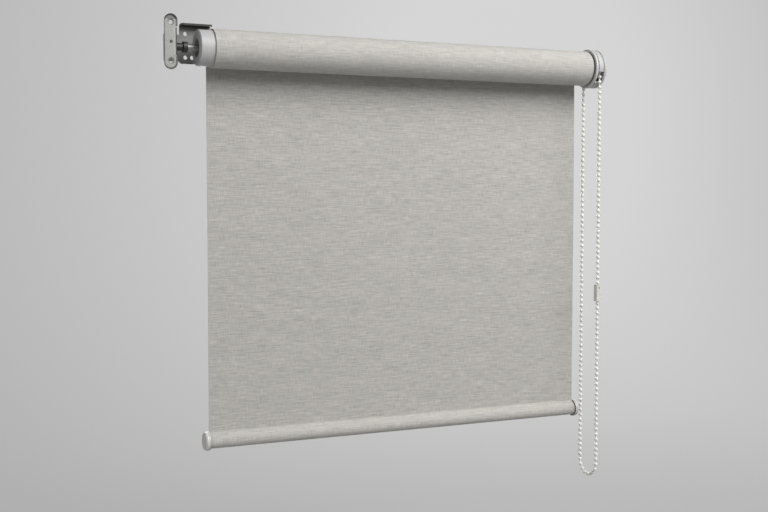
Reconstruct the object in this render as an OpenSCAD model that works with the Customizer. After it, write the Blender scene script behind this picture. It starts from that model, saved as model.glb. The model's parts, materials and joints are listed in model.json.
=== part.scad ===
// Roller blind: cloth on a tube that turns between a sprung pin and a bead-chain clutch.
// X runs along the roller, +Y points to the wall and +Z is up.
// The origin is the middle of the four wall screws, on the wall. Lengths are in millimetres.

/* [Cloth] */
// Width of the cloth
fabric_w = 450; // [300:10:900]
// Thickness of the cloth
fabric_t = 0.4; // [0.3:0.05:0.6]
// Turns that stay on the tube when the blind is down
roll_turns = 1.25; // [1.25:1:4.25]
// Depth of the hem bar's middle below the roller's axis
hem_depth = 404; // [250:1:900]

/* [Tube] */
// Outer diameter of the tube
tube_d = 38; // [34:0.5:44]
// Wall of the tube
tube_wall = 1.2; // [1:0.1:1.8]
// Width of the key rib inside the tube
key_w = 3; // [2:0.5:5]
// Height of the key rib inside the tube
key_h = 1.6; // [1:0.1:2]

/* [Plugs] */
// Height of the gripping ribs on the two plugs
rib_h = 2.4; // [2.2:0.1:3.4]
// Thickness of a gripping rib
rib_t = 1.8; // [1.2:0.1:3]
// Number of gripping ribs round a plug
rib_count = 8; // [6:1:12]
// How far the plugs' collars lie inside the tube's outer radius
collar_inset = 0.7; // [0.1:0.05:1]
// Wall that the pin or the hub passes through
web_t = 4; // [2.5:0.5:6]

/* [Idle end] */
// Length of the idle plug's cap outside the tube
cap_l = 15; // [12:1:20]
// Chamfer on the cap's outer edge
cap_chamfer = 0.8; // [0.3:0.1:2]
// Diameter of the recess in the cap's face
recess_d = 18; // [14:1:24]
// Depth of the recess in the cap's face
recess_depth = 8; // [4:0.5:10]
// Gap between the cap's face and the idle bracket
pin_reach = 24.5; // [20:0.5:30]
// Diameter of the pin's shaft
pin_d = 7; // [5.5:0.5:9]
// Diameter of the pin's tip
pin_tip_d = 5; // [3:0.5:5]
// Length of the tip inside the bush
pin_tip_l = 6; // [4:0.5:8]
// Thickness of the pin's collar
pin_collar_t = 3; // [2:0.5:5]
// Step of the pin's collar over its shaft
pin_collar_step = 2.5; // [2:0.25:3.5]
// Length of the pin's tail inside the spring
pin_tail_l = 12; // [6:1:16]
// Length of the pin's spring
spring_l = 24; // [20:1:34]
// Wire of the pin's spring
spring_wire = 1.2; // [0.8:0.1:1.4]
// Turns of the pin's spring
spring_turns = 8; // [5:1:12]
// Thickness of the seat behind the spring
seat_t = 3; // [2:0.5:5]
// Diameter of the bush's collars
bush_d = 11; // [9.5:0.5:14]
// Length of the bush in front of the bracket
bush_l = 14.5; // [10:0.5:17]
// Length of the bush's collar round the pin
bush_collar_l = 4.5; // [3:0.5:7]
// Wall of the bush's neck, which passes through the bracket
bush_wall = 1.3; // [1:0.1:2]
// Thickness of the bush's riveted rim
bush_rim = 1; // [0.6:0.1:2]

/* [Brackets] */
// Thickness of the brackets' sheet
sheet_t = 2; // [1.5:0.25:3]
// Inner radius of the bends
bend_r = 1.5; // [1:0.25:3]
// Distance of the roller's axis from the wall
axis_reach = 33; // [32:0.5:45]
// Distance between the two rows of wall screws
screw_rows = 24; // [18:1:30]
// Height of the screws' middle above the roller's axis
screw_rise = 5.5; // [0:0.5:6]
// Radius of the screw holes
screw_r = 2.1; // [1.6:0.1:2.6]
// Edge of a plate beyond its holes
hole_edge = 4; // [3:0.25:6]
// Distance of the idle bracket's screw column from the cloth's edge
idle_column = 18.5; // [16:0.5:24]
// Distance of the drive bracket's screw column from the cloth's edge
drive_column = 11.5; // [8:0.5:12]
// Distance between the two lower holes of the idle bracket
spare_pitch = 7; // [5:0.5:9]
// How far the idle bracket's wall plate reaches behind the cloth
plate_lap = 7.5; // [0:0.5:12]
// Height of the idle bracket's top lip over the tube
head_gap = 6.2; // [3.6:0.2:9]
// Depth of the idle bracket's top lip
lip_depth = 12; // [8:0.5:24]
// Depth of the wall plate's lower edge below the axis
plate_low = 13; // [12:0.5:22]
// Height of the side plate above the axis
side_high = 16.5; // [14:0.5:19]
// Depth of the side plate below the axis
side_low = 11; // [9:0.5:13]
// Gap between the top lip and the side plate
flange_relief = 15; // [3:0.5:16]
// How far the idle bracket's ear stands in front of the axis
ear_reach = 20; // [14:0.5:28]
// Width of the ear
ear_w = 13; // [12:0.5:20]
// Height of the ear
ear_h = 54; // [50:1:70]
// Height of the ear's middle above the axis
ear_rise = 2.5; // [0:0.5:6]
// Distance between the ear's holes
ear_pitch = 18.7; // [14:0.1:20]
// Relief cut at each end of the ear's bend
ear_notch = 1; // [0.6:0.2:2]
// Radius of the ear's middle hole
ear_pilot_r = 1.5; // [1:0.1:2]
// Depth of the countersinks
sink_depth = 1.2; // [0.6:0.1:1.4]
// Radius of the drive bracket's nose
nose_r = 13; // [11:0.5:13.5]
// Width of the drive bracket's wall flange
drive_flange_w = 26; // [22:0.5:34]
// Corner radius of the flat plates
corner_r = 2; // [1:0.25:3]

/* [Chain] */
// Diameter of a bead
bead_d = 4.5; // [3.5:0.1:4.8]
// Distance between beads
bead_pitch = 6; // [5.6:0.1:8]
// Diameter of the chain's cord
chain_cord_d = 1.4; // [1:0.1:1.8]
// Links from the wheel's last bead to the bottom of the loop
half_links = 82; // [50:1:160]
// Bead, counted down the room side, that the joining clip is centred on
clip_bead = 43; // [10:1:46]
// Wall of the joining clip
clip_wall = 0.9; // [0.6:0.1:1.4]
// Diameter of the peep hole in the joining clip
clip_peep_d = 1.8; // [1:0.1:2.4]

/* [Clutch] */
// Pockets round the chain wheel
pockets = 17; // [15:1:21]
// Width of the chain wheel
wheel_w = 7.6; // [7:0.2:10]
// Rise of the wheel's rim over the beads' circle
wheel_rise = 1.1; // [0.6:0.1:1.4]
// Thickness of the inner guard flange
guard_t = 4; // [2.5:0.25:6]
// Step of the inner guard flange over the housing
guard_lip = 0.4; // [0.2:0.1:2]
// Width of the grooves round the clutch
groove_w = 1.2; // [0.6:0.1:1.6]
// Wall of the chain housing
housing_wall = 2.2; // [1.4:0.1:3]
// End wall of the chain housing
housing_end = 2; // [1.5:0.25:3]
// Gap between the beads and the housing's rim
bead_room = 1.4; // [1:0.1:3]
// Gap between the beads and the outer side of the chain's slots
slot_gap = 0.7; // [0.5:0.1:1.2]
// Depth below the axis at which the chain's slots begin
slot_low = 5; // [2:0.5:7]
// Length of the drive plug inside the tube
drive_l = 45; // [38:1:60]
// Thickness of the drive plug's shoulder
shoulder_t = 1.4; // [1:0.1:3]
// Radius of the fixed hub's drum
hub_r = 7; // [6:0.25:7.5]
// Radius of the hub's inner journal
journal_r = 5; // [4:0.25:5.5]
// Wall of the drive plug's neck round the hub
neck_wall = 2.8; // [2:0.1:3]
// Step of the hub's six-sided end over its drum
hub_hex_step = 2; // [1.5:0.25:2.5]
// Wire of the brake springs
brake_wire = 1.4; // [1:0.1:1.8]
// Turns of a brake spring
brake_turns = 6; // [4:1:8]
// Thickness of the hub's clip
hub_clip_t = 1.2; // [0.8:0.1:2]
// Radius of the hub screw
hub_screw_r = 1.8; // [1.4:0.1:2.2]
// Length of the hub screw inside the hub
hub_screw_l = 12; // [8:1:20]
// Radius of the housing's pegs
peg_r = 1.9; // [1.4:0.1:2.2]

/* [Hem bar] */
// Outer diameter of the hem bar
hem_d = 15.2; // [14:0.2:20]
// Wall of the hem bar
hem_wall = 1.5; // [1:0.1:2.5]
// Step of the end caps over the covered bar
hem_cap_step = 1.8; // [0.5:0.1:2.4]
// Length of an end cap outside the bar
hem_cap_l = 5.5; // [2.5:0.5:7.5]
// Rounding of an end cap's outer edge
hem_cap_round = 2.4; // [0.6:0.2:2.4]
// Length of an end cap's spigot inside the bar
hem_spigot_l = 16; // [8:1:30]

/* [Hidden] */
$fn = 72;

// Clearances: a seat, a running fit, a gap between a moving piece and its neighbour, and a cut's overrun
seat_gap = 0.05;
run_gap = 0.08;
free_gap = 0.3;
side_gap = 0.5;
cut_over = 1;
// Gap between the turns of the cloth
wrap_gap = 0.03;
// Steps round one turn of the rolled cloth
wrap_steps = 72;
// Rings round one turn of a coil, and sides of its wire
coil_steps = 16;
coil_sides = 6;

// Cloth and tube
fabric_mid = (idle_column - drive_column) / 2;
fabric_left = fabric_mid - fabric_w / 2;
fabric_right = fabric_mid + fabric_w / 2;
axis_y = -axis_reach;
axis_z = -screw_rise;
tube_r = tube_d / 2;
tube_bore_r = tube_r - tube_wall;
collar_r = tube_r - collar_inset;
core_r = tube_bore_r - rib_h;
rib_tip_r = tube_bore_r - seat_gap;
wrap_pitch = fabric_t + wrap_gap;
roll_r = tube_r + wrap_gap + wrap_pitch * roll_turns + fabric_t;
drop_y = axis_y + roll_r + free_gap + fabric_t / 2;

// Hem bar
hem_z = axis_z - hem_depth;
hem_r = hem_d / 2;
pocket_r = hem_r + seat_gap + fabric_t;
hem_cap_r = pocket_r + hem_cap_step;
hem_groove_share = 0.25;
hem_groove = fabric_t;
drop_low = hem_z + pocket_r + free_gap;

// Idle end, from the cap's face inwards
cap_face_x = fabric_left - cap_l;
idle_side_x = cap_face_x - pin_reach;
bush_face_x = idle_side_x + bush_l;
web_x = cap_face_x + recess_depth;
chamber_x = web_x + web_t;
pin_r = pin_d / 2;
pin_tip_r = pin_tip_d / 2;
pin_collar_r = pin_r + pin_collar_step;
chamber_r = pin_collar_r + run_gap;
pin_shaft_x = bush_face_x + free_gap;
pin_collar_x = chamber_x + free_gap;
spring_x = pin_collar_x + pin_collar_t;
seat_x = spring_x + spring_l;
plug_end_x = seat_x + seat_t;
spring_mid_r = chamber_r - side_gap - spring_wire / 2;
pin_tail_r = spring_mid_r - spring_wire / 2 - side_gap;
bush_bore_r = pin_tip_r + run_gap;
bush_neck_r = bush_bore_r + bush_wall;
bush_r = bush_d / 2;

// Clutch, from the cloth's edge outwards
shoulder_x = fabric_right + shoulder_t;
guard_x = shoulder_x + side_gap;
wheel_x = guard_x + guard_t + side_gap;
chain_x = wheel_x + wheel_w / 2;
end_x = wheel_x + wheel_w + side_gap;
drive_side_x = end_x + housing_end;
bead_r = bead_d / 2;
cord_r = chain_cord_d / 2;
pitch_r = bead_pitch / (2 * sin(180 / pockets));
wheel_r = pitch_r + wheel_rise;
housing_bore_r = pitch_r + bead_r + bead_room;
housing_r = housing_bore_r + housing_wall;
guard_r = housing_r + guard_lip;
groove_share = 0.5;
groove_r = housing_r - housing_wall * groove_share;
register_r = housing_bore_r - run_gap;
neck_bore_r = hub_r + run_gap;
neck_r = neck_bore_r + neck_wall;
guard_bore_r = neck_r + free_gap;
dog_r = neck_r - seat_gap;
brake_mid_r = (hub_r + run_gap) / cos(180 / coil_steps) + brake_wire / 2;
cavity_r = brake_mid_r + brake_wire / 2 + side_gap;
drive_end_x = fabric_right - drive_l;
cavity_x = drive_end_x + web_t;
cavity_l = fabric_right - web_t - cavity_x;
brake_l = brake_turns * brake_wire + brake_wire;
brake_gap = (cavity_l - 2 * brake_l) / 3;
hub_clip_x = drive_end_x - free_gap - hub_clip_t;
hub_groove_r = journal_r - hub_clip_t / 2;
hub_clip_r = journal_r + hub_clip_t * 2;
hub_end_x = hub_clip_x - hub_clip_t;
hub_hex_r = hub_r + hub_hex_step;
hub_bore_r = hub_screw_r + seat_gap;
screw_head_r = hub_screw_r * 2.2;
screw_head_t = hub_screw_r * 1.4;
socket_r = hub_screw_r * 0.9;
socket_depth = screw_head_t / 2;
peg_hole_r = peg_r + seat_gap;
peg_y = nose_r;
peg_z = nose_r / 2;

// Chain: angles round the wheel, then lengths along one side of the loop
pocket_a = 360 / pockets;
wheel_beads = floor(pockets / 4);
quarter_l = PI / 2 * pitch_r;
rest_l = quarter_l - wheel_beads * pocket_a * PI / 180 * pitch_r;
first_bead = bead_pitch - rest_l;
strand_l = half_links * bead_pitch - rest_l - quarter_l;
loop_beads = floor(quarter_l / bead_pitch);
loop_a = bead_pitch / pitch_r * 180 / PI;
strand_beads = half_links - loop_beads - 1;
clip_bore_r = bead_r + 2 * run_gap;
clip_half_l = 2 * bead_pitch - bead_r - 2 * run_gap;
clip_room = bead_pitch + bead_r + run_gap;
clip_w = 2 * (clip_bore_r + clip_wall);
clip_slot = chain_cord_d + free_gap * 2;
clip_z = axis_z - first_bead - clip_bead * bead_pitch;

// Brackets
head_z = axis_z + tube_r + head_gap + sheet_t;
plate_right = fabric_left + plate_lap;
bend_out = bend_r + sheet_t;
ear_y = axis_y - ear_reach;
ear_x = idle_side_x - ear_w / 2;
idle_screw_x = fabric_left - idle_column;
drive_screw_x = fabric_right + drive_column;
plate_high = screw_rows / 2 + hole_edge;
drive_plate_low = -screw_rows / 2 - hole_edge;

// Children are set on the roller's axis at x, with their Z along +X and their X pointing down
module on_axis(x) {
    translate([x, axis_y, axis_z]) rotate([0, 90, 0]) children();
}

// A round bar on the roller's axis, from one station to another
module bar(from, to, r) {
    on_axis(from) cylinder(h = to - from, r = r);
}

// The same bar with six sides
module hex_bar(from, to, r) {
    on_axis(from) cylinder(h = to - from, r = r, $fn = 6);
}

// A flat outline of width w and height h, centred, with round corners
module round_rect(w, h, r) {
    square([w - 2 * r, h], center = true);
    square([w, h - 2 * r], center = true);
    for (sx = [-1, 1], sy = [-1, 1])
        translate([sx * (w / 2 - r), sy * (h / 2 - r)]) circle(r);
}

// A flat outline of width w and height h, centred, with half-round ends
module round_bar_outline(w, h) {
    square([w, h - w], center = true);
    for (side = [-1, 1])
        translate([0, side * (h - w) / 2]) circle(w / 2);
}

// A round-cornered outline between two corner points
module round_patch(low, high, r) {
    translate((low + high) / 2) round_rect(high[0] - low[0], high[1] - low[1], r);
}

// Sheet that lies against the wall plane at y, drawn as X and Z
module wall_sheet(y) {
    translate([0, y, 0]) rotate([90, 0, 0]) linear_extrude(sheet_t) children();
}

// Sheet that stands across the roller from x, drawn as Y and Z
module side_sheet(x) {
    translate([x, 0, 0]) rotate([90, 0, 90]) linear_extrude(sheet_t) children();
}

// A quarter of a bend, length l along Z, in the quadrant of +X and +Y round its centre
module bend(l) {
    linear_extrude(l) intersection() {
        difference() {
            circle(bend_out);
            circle(bend_r);
        }
        square(bend_out);
    }
}

// A coil of round wire along Z, its middle line on radius r from 0 to l
module coil(r, wire, turns, l) {
    rings = turns * coil_steps;
    points = [
        for (i = [0:rings], j = [0:coil_sides - 1])
            let (a = 360 * i / coil_steps, b = 360 * j / coil_sides, out = r + wire / 2 * cos(b))
            [out * cos(a), out * sin(a), l * i / rings + wire / 2 * sin(b)]
    ];
    sides = [
        for (i = [0:rings - 1], j = [0:coil_sides - 1])
            let (k = (j + 1) % coil_sides, a = i * coil_sides, b = a + coil_sides)
            [a + j, b + j, b + k, a + k]
    ];
    first = [for (j = [0:coil_sides - 1]) j];
    last = [for (j = [coil_sides - 1:-1:0]) rings * coil_sides + j];
    polyhedron(points, concat([first], sides, [last]));
}

// Ribs that grip the tube: one rib at each step, and a pair that straddles the tube's key
module grip_ribs(from, to) {
    rib_len = rib_tip_r - core_r + rib_t;
    step = key_w / 2 + seat_gap + rib_t / 2;
    on_axis(from) intersection() {
        cylinder(h = to - from, r = rib_tip_r);
        union() {
            for (i = [1:rib_count - 1])
                rotate(i * 360 / rib_count)
                    translate([core_r - rib_t, -rib_t / 2, 0]) cube([rib_len, rib_t, to - from]);
            for (side = [-1, 1])
                translate([core_r - rib_t, side * step - rib_t / 2, 0]) cube([rib_len, rib_t, to - from]);
        }
    }
}

// Folded steel: wall plate, top lip, side plate that holds the pin, and an ear turned outwards
module idle_bracket() {
    inner_x = idle_side_x + bend_r;
    flange_x = idle_side_x + flange_relief;
    back_y = -bend_out;
    front_y = ear_y + bend_out;
    low_z = axis_z - side_low;
    high_z = axis_z + side_high;
    plate_top = head_z - bend_out;
    color("darkgray") difference() {
        union() {
            wall_sheet(0) difference() {
                union() {
                    round_patch([flange_x, axis_z - plate_low], [plate_right, plate_top], corner_r);
                    translate([flange_x, axis_z]) square([plate_right - flange_x, plate_top - axis_z]);
                    translate([inner_x, low_z]) square([idle_screw_x - inner_x, high_z - low_z]);
                }
                for (side = [-1, 1])
                    translate([idle_screw_x, side * screw_rows / 2]) circle(screw_r);
                translate([idle_screw_x + spare_pitch, -screw_rows / 2]) circle(screw_r);
            }
            translate([inner_x, back_y, low_z]) mirror([1, 0, 0]) bend(high_z - low_z);
            side_sheet(idle_side_x - sheet_t)
                translate([front_y, low_z]) square([back_y - front_y, high_z - low_z]);
            translate([idle_side_x - bend_out, front_y, low_z]) mirror([0, 1, 0]) bend(high_z - low_z);
            wall_sheet(ear_y + sheet_t) difference() {
                translate([ear_x, axis_z + ear_rise]) difference() {
                    round_bar_outline(ear_w, ear_h);
                    for (side = [-1, 1])
                        translate([0, side * ear_pitch]) circle(screw_r);
                    circle(ear_pilot_r);
                }
                translate([idle_side_x - bend_out, low_z - ear_notch])
                    square([bend_out + cut_over, high_z - low_z + 2 * ear_notch]);
            }
            translate([flange_x, back_y, plate_top]) rotate([90, 0, 90]) bend(plate_right - flange_x);
            translate([0, 0, head_z - sheet_t]) linear_extrude(sheet_t) union() {
                round_patch([flange_x, -lip_depth], [plate_right, back_y], corner_r);
                translate([flange_x, back_y - corner_r]) square([plate_right - flange_x, corner_r]);
            }
        }
        bar(idle_side_x - sheet_t - cut_over, idle_side_x + cut_over, bush_neck_r + seat_gap);
        for (side = [-1, 1])
            translate([ear_x, ear_y, axis_z + ear_rise + side * ear_pitch]) rotate([-90, 0, 0])
                cylinder(h = sink_depth, r1 = screw_r + sink_depth, r2 = screw_r);
    }
}

// Turned bush, riveted into the side plate, with a collar in which the pin's tip sits
module idle_bush() {
    outer_x = idle_side_x - sheet_t - bush_rim;
    color("dimgray") difference() {
        union() {
            bar(outer_x, idle_side_x - sheet_t, bush_neck_r + bush_rim);
            bar(outer_x, bush_face_x, bush_neck_r);
            bar(idle_side_x, idle_side_x + bush_rim, bush_r);
            bar(bush_face_x - bush_collar_l, bush_face_x, bush_r);
        }
        bar(outer_x - cut_over, bush_face_x + cut_over, bush_bore_r);
    }
}

// Steel pin with a tip, a collar inside the plug and a tail that guides its spring
module idle_pin() {
    color("gainsboro") {
        union() {
            bar(bush_face_x - pin_tip_l, pin_shaft_x, pin_tip_r);
            bar(pin_shaft_x, pin_collar_x, pin_r);
            bar(pin_collar_x, spring_x, pin_collar_r);
            bar(spring_x, spring_x + pin_tail_l, pin_tail_r);
        }
    }
}

// Spring that pushes the pin's collar towards the bracket
module pin_spring() {
    color("silver") on_axis(spring_x + spring_wire / 2 + seat_gap)
        coil(spring_mid_r, spring_wire, spring_turns, spring_l - spring_wire - 2 * seat_gap);
}

// Disc pressed into the idle plug behind the spring
module spring_seat() {
    color("slategray") difference() {
        bar(seat_x, plug_end_x, chamber_r - seat_gap);
        bar(seat_x - cut_over, plug_end_x + cut_over, pin_tail_r);
    }
}

// Moulded plug with a cap outside the tube and ribs inside it
module idle_plug() {
    color("lightgray") difference() {
        union() {
            on_axis(cap_face_x) cylinder(h = cap_chamfer, r1 = collar_r - cap_chamfer, r2 = collar_r);
            bar(cap_face_x + cap_chamfer, fabric_left, collar_r);
            bar(fabric_left, plug_end_x, core_r);
            grip_ribs(fabric_left, plug_end_x);
        }
        bar(cap_face_x - cut_over, web_x, recess_d / 2);
        bar(cap_face_x, chamber_x + cut_over, pin_r + run_gap);
        bar(chamber_x, plug_end_x + cut_over, chamber_r);
    }
}

// Extruded tube with one key rib inside
module roller_tube() {
    color("silver") {
        difference() {
            bar(fabric_left, fabric_right, tube_r);
            bar(fabric_left - cut_over, fabric_right + cut_over, tube_bore_r);
        }
        on_axis(fabric_left) intersection() {
            translate([tube_bore_r - key_h, -key_w / 2, 0])
                cube([key_h + tube_wall / 2, key_w, fabric_w]);
            cylinder(h = fabric_w, r = tube_r - tube_wall / 2);
        }
    }
}

// Cloth on the tube: a spiral that starts where the cloth leaves the roll and winds inwards
module fabric_roll() {
    steps = roll_turns * wrap_steps;
    inner = [
        for (i = [0:steps])
            let (a = 90 + 360 * i / wrap_steps, r = roll_r - fabric_t - wrap_pitch * i / wrap_steps)
            [r * cos(a), r * sin(a)]
    ];
    outer = [
        for (i = [steps:-1:0])
            let (a = 90 + 360 * i / wrap_steps, r = roll_r - wrap_pitch * i / wrap_steps)
            [r * cos(a), r * sin(a)]
    ];
    color("tan") on_axis(fabric_left) linear_extrude(fabric_w) polygon(concat(inner, outer));
}

// Cloth that hangs from the back of the roll to the hem bar
module fabric_drop() {
    color("tan") translate([fabric_left, drop_y - fabric_t / 2, drop_low])
        cube([fabric_w, fabric_t, axis_z - drop_low]);
}

// Children are set on the hem bar's axis at x, with their Z along +X
module on_hem(x) {
    translate([x, drop_y, hem_z]) rotate([0, 90, 0]) children();
}

// Cloth sewn round the hem bar
module hem_pocket() {
    color("wheat") on_hem(fabric_left) difference() {
        cylinder(h = fabric_w, r = pocket_r);
        translate([0, 0, -cut_over]) cylinder(h = fabric_w + 2 * cut_over, r = pocket_r - fabric_t);
    }
}

// Tube that weights the cloth's lower edge
module hem_bar() {
    color("silver") on_hem(fabric_left) difference() {
        cylinder(h = fabric_w, r = hem_r);
        translate([0, 0, -cut_over]) cylinder(h = fabric_w + 2 * cut_over, r = hem_r - hem_wall);
    }
}

// End cap of the hem bar, turned as one profile: rim with a groove, and a spigot
module hem_cap() {
    groove_x = hem_cap_l * hem_groove_share;
    rotate_extrude() difference() {
        union() {
            square([hem_cap_r, hem_cap_l - hem_cap_round]);
            square([hem_cap_r - hem_cap_round, hem_cap_l]);
            translate([hem_cap_r - hem_cap_round, hem_cap_l - hem_cap_round]) circle(hem_cap_round);
            translate([0, -hem_spigot_l]) square([hem_r - hem_wall - seat_gap, hem_spigot_l]);
        }
        translate([hem_cap_r - hem_groove, groove_x]) square([hem_groove + cut_over, hem_groove]);
        translate([-hem_cap_r, -hem_spigot_l]) square([hem_cap_r, hem_spigot_l + hem_cap_l]);
    }
}

module hem_cap_left() {
    color("whitesmoke") on_hem(fabric_left) mirror([0, 0, 1]) hem_cap();
}

module hem_cap_right() {
    color("whitesmoke") on_hem(fabric_right) hem_cap();
}

// Ribbed plug that the chain wheel turns, hollow for the brake springs
module drive_plug() {
    color("gainsboro") difference() {
        union() {
            bar(drive_end_x, fabric_right, core_r);
            grip_ribs(drive_end_x, fabric_right);
            bar(fabric_right, shoulder_x, collar_r);
            bar(shoulder_x, wheel_x, neck_r);
            hex_bar(wheel_x, wheel_x + wheel_w, dog_r);
        }
        bar(drive_end_x - cut_over, cavity_x + cut_over, journal_r + run_gap);
        bar(cavity_x, cavity_x + cavity_l, cavity_r);
        bar(cavity_x + cavity_l - cut_over, wheel_x + wheel_w + cut_over, neck_bore_r);
    }
}

// Wheel with a round pocket for each bead and a groove for the cord between them
module chain_wheel() {
    pocket_r = bead_r + free_gap;
    cord_w = chain_cord_d + 2 * free_gap;
    color("white") difference() {
        bar(wheel_x, wheel_x + wheel_w, wheel_r);
        hex_bar(wheel_x - cut_over, wheel_x + wheel_w + cut_over, neck_r);
        on_axis(chain_x) for (i = [0:pockets - 1]) rotate(180 + i * pocket_a) {
            translate([pitch_r, 0, 0]) sphere(pocket_r);
            translate([pitch_r, 0, 0]) rotate([0, 90, 0]) cylinder(h = bead_d, r = pocket_r);
        }
        on_axis(chain_x) rotate_extrude() {
            translate([pitch_r, 0]) circle(cord_w / 2);
            translate([pitch_r, -cord_w / 2]) square([bead_d, cord_w]);
        }
    }
}

// Fixed hub: six-sided in the housing's end wall, a drum for the springs and a journal at the tip
module clutch_hub() {
    color("slategray") difference() {
        union() {
            bar(hub_end_x, cavity_x + free_gap, journal_r);
            bar(cavity_x + free_gap, end_x, hub_r);
            hex_bar(end_x, drive_side_x, hub_hex_r);
        }
        difference() {
            bar(hub_clip_x - seat_gap, hub_clip_x + hub_clip_t + seat_gap, hub_r);
            bar(hub_clip_x - cut_over, hub_clip_x + hub_clip_t + cut_over, hub_groove_r);
        }
        bar(drive_side_x - hub_screw_l - cut_over, drive_side_x + cut_over, hub_bore_r);
    }
}

// Brake spring that grips the hub's drum, first or second from the tube's inside
module brake_spring(place) {
    start = cavity_x + brake_gap + place * (brake_l + brake_gap) + brake_wire / 2;
    color("silver") on_axis(start) coil(brake_mid_r, brake_wire, brake_turns, brake_l - brake_wire);
}

module brake_spring_inner() {
    brake_spring(0);
}

module brake_spring_outer() {
    brake_spring(1);
}

// Open ring that snaps into the hub's groove and keeps the drive plug on
module hub_clip() {
    color("dimgray") on_axis(hub_clip_x) difference() {
        cylinder(h = hub_clip_t, r = hub_clip_r);
        translate([0, 0, -cut_over]) cylinder(h = hub_clip_t + 2 * cut_over, r = hub_groove_r + seat_gap);
        translate([0, -hub_groove_r / 2, -cut_over])
            cube([hub_clip_r + cut_over, hub_groove_r, hub_clip_t + 2 * cut_over]);
    }
}

// Round flange beside the roll, with a narrower neck and a register that fits the housing's rim
module guard_flange() {
    edge = guard_lip;
    neck_x = guard_x + guard_t - groove_w;
    color("whitesmoke") difference() {
        union() {
            on_axis(guard_x) cylinder(h = edge, r1 = guard_r - edge, r2 = guard_r);
            bar(guard_x + edge, neck_x, guard_r);
            bar(neck_x, guard_x + guard_t, groove_r);
            bar(guard_x + guard_t, guard_x + guard_t + side_gap, register_r);
        }
        bar(guard_x - cut_over, wheel_x + cut_over, guard_bore_r);
        bar(guard_x + guard_t, wheel_x + cut_over, register_r - housing_wall / 2);
    }
}

// Shell round the chain wheel: grooved beside its rim, with a slot below for each side of the chain
module chain_housing() {
    slot_in = pitch_r - bead_r - 2 * free_gap;
    slot_w = housing_r - slot_in;
    slot_x = guard_x + guard_t;
    slot_l = chain_x + bead_r + slot_gap - slot_x;
    rim_x = slot_x + slot_l;
    edge_x = drive_side_x - housing_end / 2;
    color("whitesmoke") difference() {
        union() {
            bar(slot_x, edge_x, housing_r);
            on_axis(edge_x) cylinder(h = housing_end / 2, r1 = housing_r, r2 = housing_r - housing_end / 2);
            for (side = [-1, 1])
                translate([0, peg_y, side * peg_z]) bar(end_x, drive_side_x + sheet_t, peg_r);
        }
        difference() {
            bar(rim_x - groove_w, rim_x, housing_r + cut_over);
            bar(rim_x - groove_w - cut_over, rim_x + cut_over, groove_r);
        }
        bar(slot_x - cut_over, end_x, housing_bore_r);
        hex_bar(end_x - cut_over, drive_side_x + cut_over, hub_hex_r + seat_gap);
        for (start = [-housing_r, slot_in])
            translate([slot_x - cut_over, axis_y + start, axis_z - slot_low - housing_r])
                cube([slot_l + cut_over, slot_w, housing_r]);
    }
}

// Screw through the drive bracket into the hub, with a six-sided socket
module hub_screw() {
    head_x = drive_side_x + sheet_t;
    color("silver") difference() {
        union() {
            bar(drive_side_x - hub_screw_l, head_x, hub_screw_r);
            bar(head_x, head_x + screw_head_t, screw_head_r);
        }
        hex_bar(head_x + screw_head_t - socket_depth, head_x + screw_head_t + cut_over, socket_r);
    }
}

// Folded steel: wall flange turned inwards and a side plate with a round nose round the hub
module drive_bracket() {
    inner_x = drive_side_x - bend_r;
    back_y = -bend_out;
    color("darkgray") difference() {
        union() {
            wall_sheet(0) difference() {
                union() {
                    round_patch([drive_side_x - drive_flange_w, drive_plate_low], [inner_x, plate_high], corner_r);
                    translate([drive_screw_x, drive_plate_low])
                        square([inner_x - drive_screw_x, plate_high - drive_plate_low]);
                }
                for (side = [-1, 1])
                    translate([drive_screw_x, side * screw_rows / 2]) circle(screw_r);
            }
            translate([inner_x, back_y, drive_plate_low]) bend(plate_high - drive_plate_low);
            side_sheet(drive_side_x) {
                translate([axis_y, axis_z]) circle(nose_r);
                polygon([
                    [back_y, drive_plate_low], [back_y, plate_high],
                    [axis_y, axis_z + nose_r], [axis_y, axis_z - nose_r]
                ]);
            }
        }
        bar(drive_side_x - cut_over, drive_side_x + sheet_t + cut_over, hub_bore_r);
        for (side = [-1, 1])
            translate([0, peg_y, side * peg_z])
                bar(drive_side_x - cut_over, drive_side_x + sheet_t + cut_over, peg_hole_r);
    }
}

// One side of the loop as a turned profile along Z: cord with a bead at every pitch, from 0 to l
module bead_strand(l) {
    rotate_extrude() intersection() {
        union() {
            square([cord_r, l]);
            for (i = [0:strand_beads - 1])
                translate([0, l - first_bead - i * bead_pitch]) circle(bead_r);
        }
        square([bead_r + cut_over, l]);
    }
}

// Half of a ring of cord with beads at a steady angle each side of its top
module bead_arc(count, step) {
    rotate([0, 90, 0]) {
        rotate(90) rotate_extrude(angle = 180) translate([pitch_r, 0]) circle(cord_r);
        for (i = [-count:count])
            rotate(180 + i * step) translate([pitch_r, 0, 0]) sphere(bead_r);
    }
}

// Endless chain: round the top of the wheel, down both sides and round the bottom of the loop
module bead_chain() {
    color("ivory") translate([chain_x, axis_y, axis_z]) {
        bead_arc(wheel_beads, pocket_a);
        for (side = [-1, 1])
            translate([0, side * pitch_r, -strand_l]) bead_strand(strand_l);
        translate([0, 0, -strand_l]) mirror([0, 0, 1]) bead_arc(loop_beads, loop_a);
    }
}

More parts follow.
